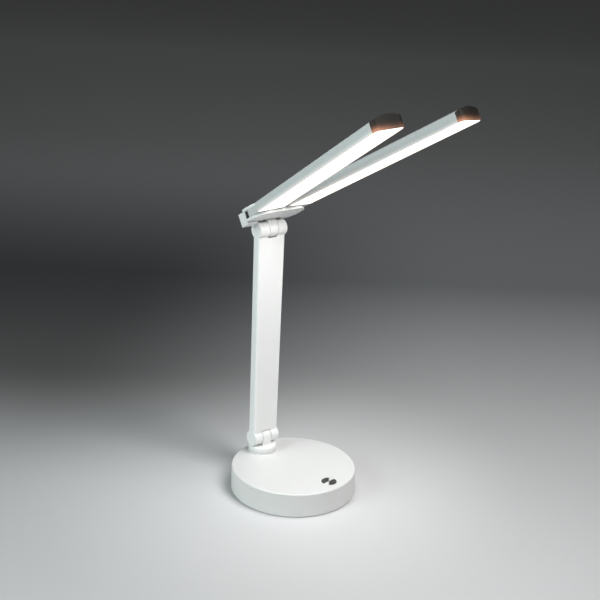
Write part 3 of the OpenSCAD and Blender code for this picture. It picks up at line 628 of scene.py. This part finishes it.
def chip_tree():
    """Geometry Nodes: a row of light chips at Pitch along a strip, Count of them,
    each a white frame of Size with a phosphor window in it."""
    tree = bpy.data.node_groups.new("row_of_light_chips", "GeometryNodeTree")
    face = tree.interface
    face.new_socket("Geometry", in_out="INPUT", socket_type="NodeSocketGeometry")
    for label, kind in (("Count", "NodeSocketInt"), ("Pitch", "NodeSocketFloat"),
                        ("First", "NodeSocketVector"), ("Size", "NodeSocketVector")):
        face.new_socket(label, in_out="INPUT", socket_type=kind)
    face.new_socket("Geometry", in_out="OUTPUT", socket_type="NodeSocketGeometry")
    given = tree.nodes.new("NodeGroupInput").outputs
    step = add(tree, "ShaderNodeCombineXYZ", {"Y": given["Pitch"]})
    row = add(tree, "GeometryNodeMeshLine",
              {"Count": given["Count"], "Start Location": given["First"],
               "Offset": step.outputs[0]}, mode="OFFSET")
    block = add(tree, "GeometryNodeMeshCube", {"Size": given["Size"]})
    body = add(tree, "GeometryNodeSetMaterial",
               {"Geometry": block.outputs["Mesh"], "Material": board_white})
    small = add(tree, "ShaderNodeVectorMath",
                {0: given["Size"], 1: (0.72, 0.72, 1.15)}, operation="MULTIPLY")
    pane = add(tree, "GeometryNodeMeshCube", {"Size": small.outputs[0]})
    window = add(tree, "GeometryNodeSetMaterial",
                 {"Geometry": pane.outputs["Mesh"], "Material": phosphor})
    both = add(tree, "GeometryNodeJoinGeometry")
    tree.links.new(body.outputs["Geometry"], both.inputs[0])
    tree.links.new(window.outputs["Geometry"], both.inputs[0])
    placed = add(tree, "GeometryNodeInstanceOnPoints",
                 {"Points": row.outputs["Mesh"], "Instance": both.outputs["Geometry"]})
    solid = add(tree, "GeometryNodeRealizeInstances",
                {"Geometry": placed.outputs["Instances"]})
    add(tree, "NodeGroupOutput", {0: solid.outputs["Geometry"]})
    return tree


def light_strip(side, node, tree):
    """The strip's board with its edges broken, and its row of chips."""
    place = bar_place(side)
    back = place.inverted()
    flat = [back @ Vector(v.co) for v in NODES[node].data.vertices]
    low = [min(v[i] for v in flat) for i in range(3)]
    high = [max(v[i] for v in flat) for i in range(3)]
    thick, chip, pitch = 1.2 * MM, 3.0 * MM, 16 * MM
    bm = bmesh.new()
    bmesh.ops.create_cube(bm, size=1.0)
    for v in bm.verts:
        v.co = Vector([low[i] + (v.co[i] + 0.5) * (high[i] - low[i]) for i in (0, 1)]
                      + [high[2] - thick * (0.5 - v.co[2])])
    bmesh.ops.bevel(bm, geom=list(bm.edges), offset=0.15 * MM, segments=2, profile=0.5,
                    affect="EDGES")
    count = int((high[1] - low[1] - pitch / 2 - chip) / pitch) + 1
    row = grown(tree, [], {"Count": count, "Pitch": pitch,
                           "First": (0, low[1] + pitch / 2 + chip / 2,
                                     high[2] - thick - 0.35 * MM),
                           "Size": (chip, chip, 0.9 * MM)}, node + "_chips")
    first = len(row.materials)
    bm.from_mesh(row)
    mesh = bpy.data.meshes.new(node + "_shown")
    bm.to_mesh(mesh)
    bm.free()
    for material in (row.materials if first else (board_white,)):
        mesh.materials.append(material)
    mesh.transform(place)
    return show(mesh, node + "_shown", node)


strip_tree = chip_tree()
for side, node in ((-1, "led_board_left"), (1, "led_board_right")):
    light_strip(side, node, strip_tree)


# ---- floor and backdrop ----

def studio_floor():
    """A wide matt sheet with light and shade painted into its colour: pale round the lamp
    and falling off to grey behind it, with a darker painted shade behind the lamp's left."""
    material, tree, place = new_material("studio_paper")
    away = (math.cos(LOOK), math.sin(LOOK), 0.0)
    across = (math.sin(LOOK), -math.cos(LOOK), 0.0)
    far = add(tree, "ShaderNodeVectorMath", {0: place, 1: away}, operation="DOT_PRODUCT")
    share = add(tree, "ShaderNodeMapRange",
                {"Value": far.outputs["Value"], "From Min": -NEAR, "From Max": REACH})
    tone = shades(add(tree, "ShaderNodeValToRGB", {"Fac": share.outputs["Result"]}),
                  *[((where + NEAR) / (REACH + NEAR), paint(code)) for where, code in GREYS])
    aside = add(tree, "ShaderNodeVectorMath", {0: place, 1: across}, operation="DOT_PRODUCT")
    # the painted shade widens with distance, begins beside the foot and is gone far behind it
    side = add(tree, "ShaderNodeMath", {0: far.outputs["Value"], 1: 0.10, 2: 0.10},
               operation="MULTIPLY_ADD")
    side = add(tree, "ShaderNodeMath", {0: aside.outputs["Value"], 1: side.outputs[0]},
               operation="SUBTRACT")
    painted_shade = None
    for value, (low, high, first, last) in ((side.outputs[0], PAINTED_SHADE_ASIDE),
                                            (far.outputs["Value"], PAINTED_SHADE_RISE),
                                            (far.outputs["Value"], PAINTED_SHADE_FALL)):
        part = add(tree, "ShaderNodeMapRange",
                   {"Value": value, "From Min": low, "From Max": high,
                    "To Min": first, "To Max": last}, interpolation_type="SMOOTHSTEP")
        painted_shade = part.outputs["Result"] if painted_shade is None else add(
            tree, "ShaderNodeMath", {0: painted_shade, 1: part.outputs["Result"]},
            operation="MULTIPLY").outputs[0]
    left = add(tree, "ShaderNodeMath", {0: 1.0, 1: painted_shade}, operation="SUBTRACT")
    # and a painted pool of light, paler where the strips shine down round the foot
    gap = add(tree, "ShaderNodeVectorMath", {0: place, 1: POOL}, operation="DISTANCE")
    glow = add(tree, "ShaderNodeMapRange",
               {"Value": gap.outputs["Value"], "From Min": POOL_CORE, "From Max": POOL_EDGE,
                "To Min": POOL_GAIN, "To Max": 1.0}, interpolation_type="SMOOTHSTEP")
    gain = add(tree, "ShaderNodeMath", {0: glow.outputs["Result"], 1: left.outputs[0]},
               operation="MULTIPLY")
    tone = add(tree, "ShaderNodeVectorMath",
               {0: tone.outputs["Color"], "Scale": gain.outputs[0]}, operation="SCALE")
    grain = add(tree, "ShaderNodeTexNoise", {"Vector": place, "Scale": 900.0})
    skin = add(tree, "ShaderNodeBump",
               {"Height": grain.outputs["Fac"], "Strength": 0.1, "Distance": 0.0001})
    paper = add(tree, "ShaderNodeBsdfDiffuse",
                {"Color": tone.outputs[0], "Normal": skin.outputs["Normal"]})
    # seen from below the sheet is clear, so that the lamp's foot can be looked at
    under = add(tree, "ShaderNodeNewGeometry")
    clear = add(tree, "ShaderNodeBsdfTransparent")
    either = add(tree, "ShaderNodeMixShader",
                 {0: under.outputs["Backfacing"], 1: paper.outputs["BSDF"],
                  2: clear.outputs["BSDF"]})
    close(material, tree, either.outputs["Shader"])
    mesh = bpy.data.meshes.new("floor")
    reach = 40.0
    mesh.from_pydata([(-reach, -reach, 0), (reach, -reach, 0), (reach, reach, 0),
                      (-reach, reach, 0)], [], [(0, 1, 2, 3)])
    mesh.materials.append(material)
    floor = bpy.data.objects.new("floor", mesh)
    bpy.context.scene.collection.objects.link(floor)


LOOK = math.radians(42.4)        # the way the camera looks, seen from above
NEAR, REACH = 0.3, 4.2           # shades run from in front of the lamp to far behind it
# metres behind the lamp, and the sheet's grey there: painted light and shade, pale near the
# lamp, a darker band behind it and paler again far off
GREYS = ((-0.3, "c8c8c8"), (0.2, "b0b0b0"), (0.7, "787a7c"), (2.0, "a0a0a0"),
         (4.2, "e0e0e0"))
POOL = (0.017, 0.066, 0.0)       # middle of the painted pool of light
POOL_CORE, POOL_EDGE = 0.04, 0.3  # where its full tone ends, and its outer edge
POOL_GAIN = 1.4                  # how much paler its middle is
# the painted shade behind the lamp's left: two distances in metres, and how strong it is at
# each
PAINTED_SHADE_ASIDE = (-0.45, 0.1, 0.75, 0.0)
PAINTED_SHADE_RISE = (-0.05, 0.3, 0.0, 1.0)
PAINTED_SHADE_FALL = (0.5, 1.6, 1.0, 0.0)
studio_floor()


# ---- light ----

def soft_lamp(name, at, aim, size, power, colour):
    data = bpy.data.lights.new(name, "AREA")
    data.shape = "DISK"
    data.size = size
    data.energy = power
    data.color = paint(colour)[:3]
    lamp = bpy.data.objects.new(name, data)
    lamp.location = at
    lamp.rotation_euler = (Vector(aim) - Vector(at)).to_track_quat("-Z", "Y").to_euler()
    bpy.context.scene.collection.objects.link(lamp)


def strip_lamp(side, body, power):
    """The light that a bar's strip sheds; it rides with the bar."""
    data = bpy.data.lights.new(body + "_light", "AREA")
    data.shape = "RECTANGLE"
    data.size, data.size_y = STRIP_WIDE, STRIP_LONG
    data.energy = power
    data.color = paint("fffeff")[:3]
    lamp = bpy.data.objects.new(body + "_light", data)
    bpy.context.scene.collection.objects.link(lamp)
    lamp.parent = frame["bodies"][body]
    lamp.matrix_local = bar_place(side) @ Matrix.Translation((0, STRIP_MIDDLE, -STRIP_DROP))
    lamp.visible_camera = False


MIDDLE = (0.0, 0.0, 0.15)
LAMPS = (                        # place, diameter, power, colour
    ("overhead", (0.45, -0.35, 1.9), 1.0, 8.2, "fdffff"),
    ("high_front", (0.1, -1.2, 1.6), 0.8, 17.5, "fffdff"),
    ("left_fill", (-1.6, 0.3, 0.8), 1.2, 17.7, "f1ffff"),
)
STRIP_POWER = 0.27
STRIP_WIDE, STRIP_LONG = 27 * MM, 186 * MM
STRIP_MIDDLE = 130 * MM          # from the swing pin, so that the plate's lip gets none
STRIP_DROP = 0.5 * MM            # below the diffuser
for name, at, size, power, colour in LAMPS:
    soft_lamp(name, at, MIDDLE, size, power, colour)
strip_lamp(-1, "bar_left", STRIP_POWER)
strip_lamp(1, "bar_right", STRIP_POWER)


def foot_lamp():
    """Lights only the foot's underside, and shines through the sheet, so that a look
    from below shows the cover; nothing above the sheet gets any of it."""
    soft_lamp("foot_lamp", (-0.25, 0.2, -0.7), (0, 0, 0), 0.6, 5.0, "fbfdff")
    lamp = bpy.data.objects["foot_lamp"]
    for link, names in (("receiver_collection", ("base_cover", "foot_ring", "cover_screws")),
                        ("blocker_collection", ("base_shell", "base_cover", "foot_ring"))):
        group = bpy.data.collections.new("foot_lamp_" + link)
        for name in names:
            group.objects.link(bpy.data.objects[name + "_shown"])
        setattr(lamp.light_linking, link, group)


foot_lamp()

world = bpy.data.worlds.new("studio")
bpy.context.scene.world = world
world.use_nodes = True
sky = world.node_tree
sky.nodes.clear()
ambient = add(sky, "ShaderNodeBackground", {"Color": paint("f7f9fb"), "Strength": 0.044})
behind = add(sky, "ShaderNodeBackground", {"Color": paint("4c5053"), "Strength": 1.0})
ray = add(sky, "ShaderNodeLightPath")
mixed = add(sky, "ShaderNodeMixShader",
            {0: ray.outputs["Is Camera Ray"], 1: ambient.outputs["Background"],
             2: behind.outputs["Background"]})
add(sky, "ShaderNodeOutputWorld", {"Surface": mixed.outputs["Shader"]})

# ---- camera, at the photograph's angle ----

CAMERA_AIM = Vector((109.19, 100.73, 150.25)) * MM
CAMERA_DISTANCE = 1185.28 * MM
CAMERA_AZIMUTH, CAMERA_HEIGHT, CAMERA_ROLL = (math.radians(v) for v in (-137.61, 18.67, 2.51))


def set_camera():
    data = bpy.data.cameras.new("camera")
    data.sensor_width = 36.0
    data.lens = 64.37
    data.clip_start, data.clip_end = 0.02, 200.0
    camera = bpy.data.objects.new("camera", data)
    back = Vector((math.cos(CAMERA_HEIGHT) * math.cos(CAMERA_AZIMUTH),
                   math.cos(CAMERA_HEIGHT) * math.sin(CAMERA_AZIMUTH),
                   math.sin(CAMERA_HEIGHT)))
    right = PLUMB.cross(back).normalized()
    up = back.cross(right)
    turned = right * math.cos(CAMERA_ROLL) + up * math.sin(CAMERA_ROLL)
    up = up * math.cos(CAMERA_ROLL) - right * math.sin(CAMERA_ROLL)
    placed = Matrix((turned, up, back)).transposed().to_4x4()
    placed.translation = CAMERA_AIM + back * CAMERA_DISTANCE
    camera.matrix_world = placed
    bpy.context.scene.collection.objects.link(camera)
    bpy.context.scene.camera = camera


set_camera()
bpy.context.scene.view_settings.view_transform = "Standard"
